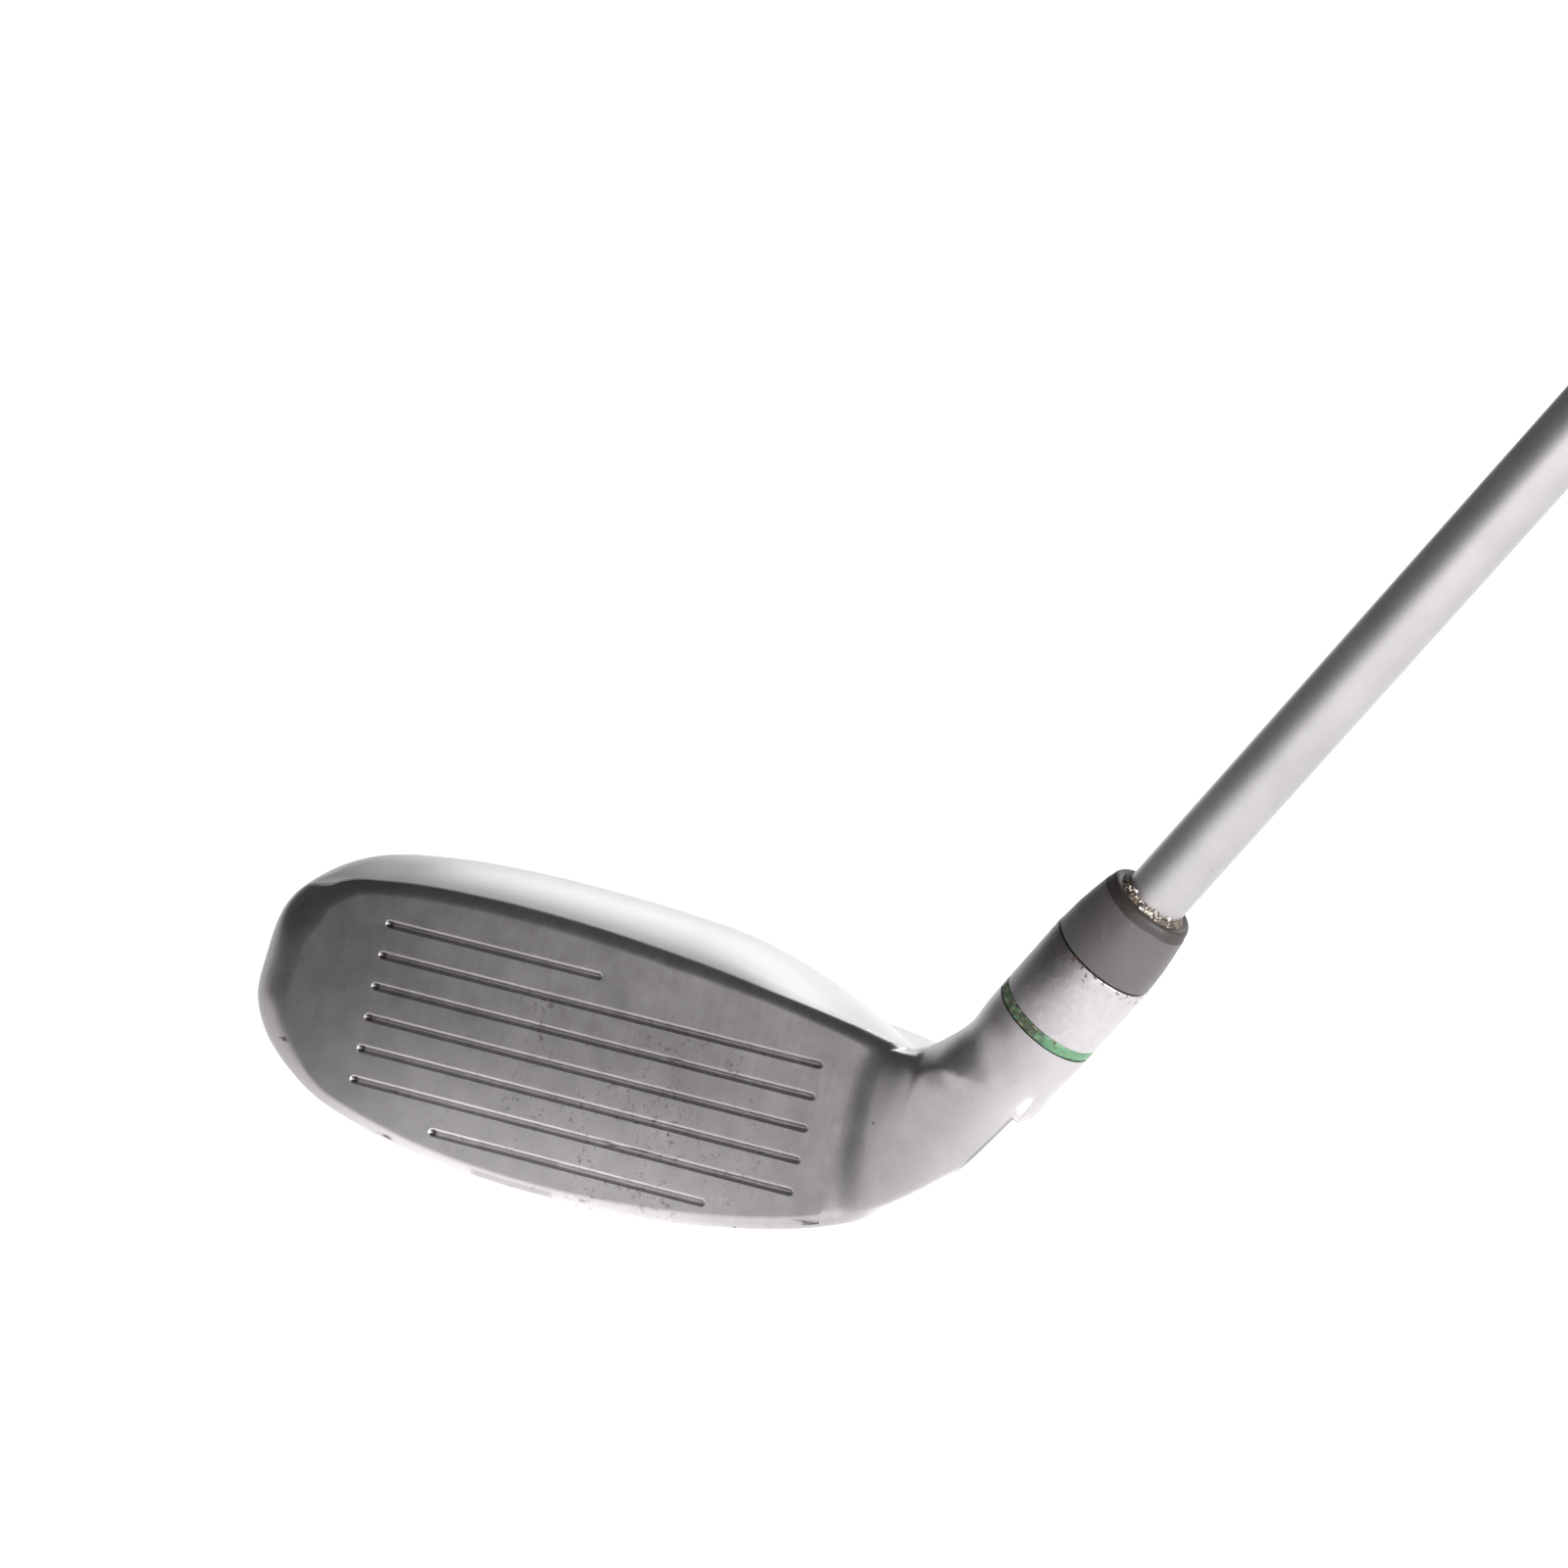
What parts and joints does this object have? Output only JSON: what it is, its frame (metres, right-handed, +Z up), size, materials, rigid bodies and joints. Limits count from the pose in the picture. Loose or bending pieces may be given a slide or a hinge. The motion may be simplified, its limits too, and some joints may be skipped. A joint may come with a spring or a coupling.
{
  "type": "hybrid golf club",
  "caption": "Right-handed hybrid golf club with a hollow steel head, white painted crown, scored face, bonded stepped steel shaft and rubber grip.",
  "frame": {"origin": "lowest point of the sole, on the ground under the middle of the face", "axes": "+Z up, -Y the way the face looks, -X toward the toe, +X toward the heel, with the shaft rising toward +X in the XZ direction"},
  "size_m": [0.5942, 0.0669, 0.8867],
  "materials": {
    "cast_steel": "satin blasted cast stainless steel, worn",
    "face_steel": "fine matt steel with cut score lines",
    "crown_paint": "gloss white enamel",
    "band_green": "worn green enamel ring",
    "ferrule_grey": "turned grey plastic, dulled",
    "epoxy": "cured shafting epoxy",
    "shaft_steel": "satin plated steel tube",
    "plug_brass": "turned brass",
    "screw_steel": "plain steel screw",
    "hot_melt": "cloudy hot-melt glue",
    "tape_paper": "double-sided paper tape",
    "grip_rubber": "moulded black rubber with a fine pattern",
    "cap_rubber": "harder moulded black rubber"
  },
  "bodies": {
    "root": {"head_body": "cast_steel", "face_plate": "face_steel", "crown": "crown_paint", "hosel_band": "band_green", "ferrule": "ferrule_grey", "hosel_epoxy": "epoxy", "shaft": "shaft_steel", "tip_plug": "plug_brass", "port_screw": "screw_steel", "hot_melt": "hot_melt", "grip_tape": "tape_paper", "grip": "grip_rubber", "grip_cap": "cap_rubber"}
  },
  "joints": []
}
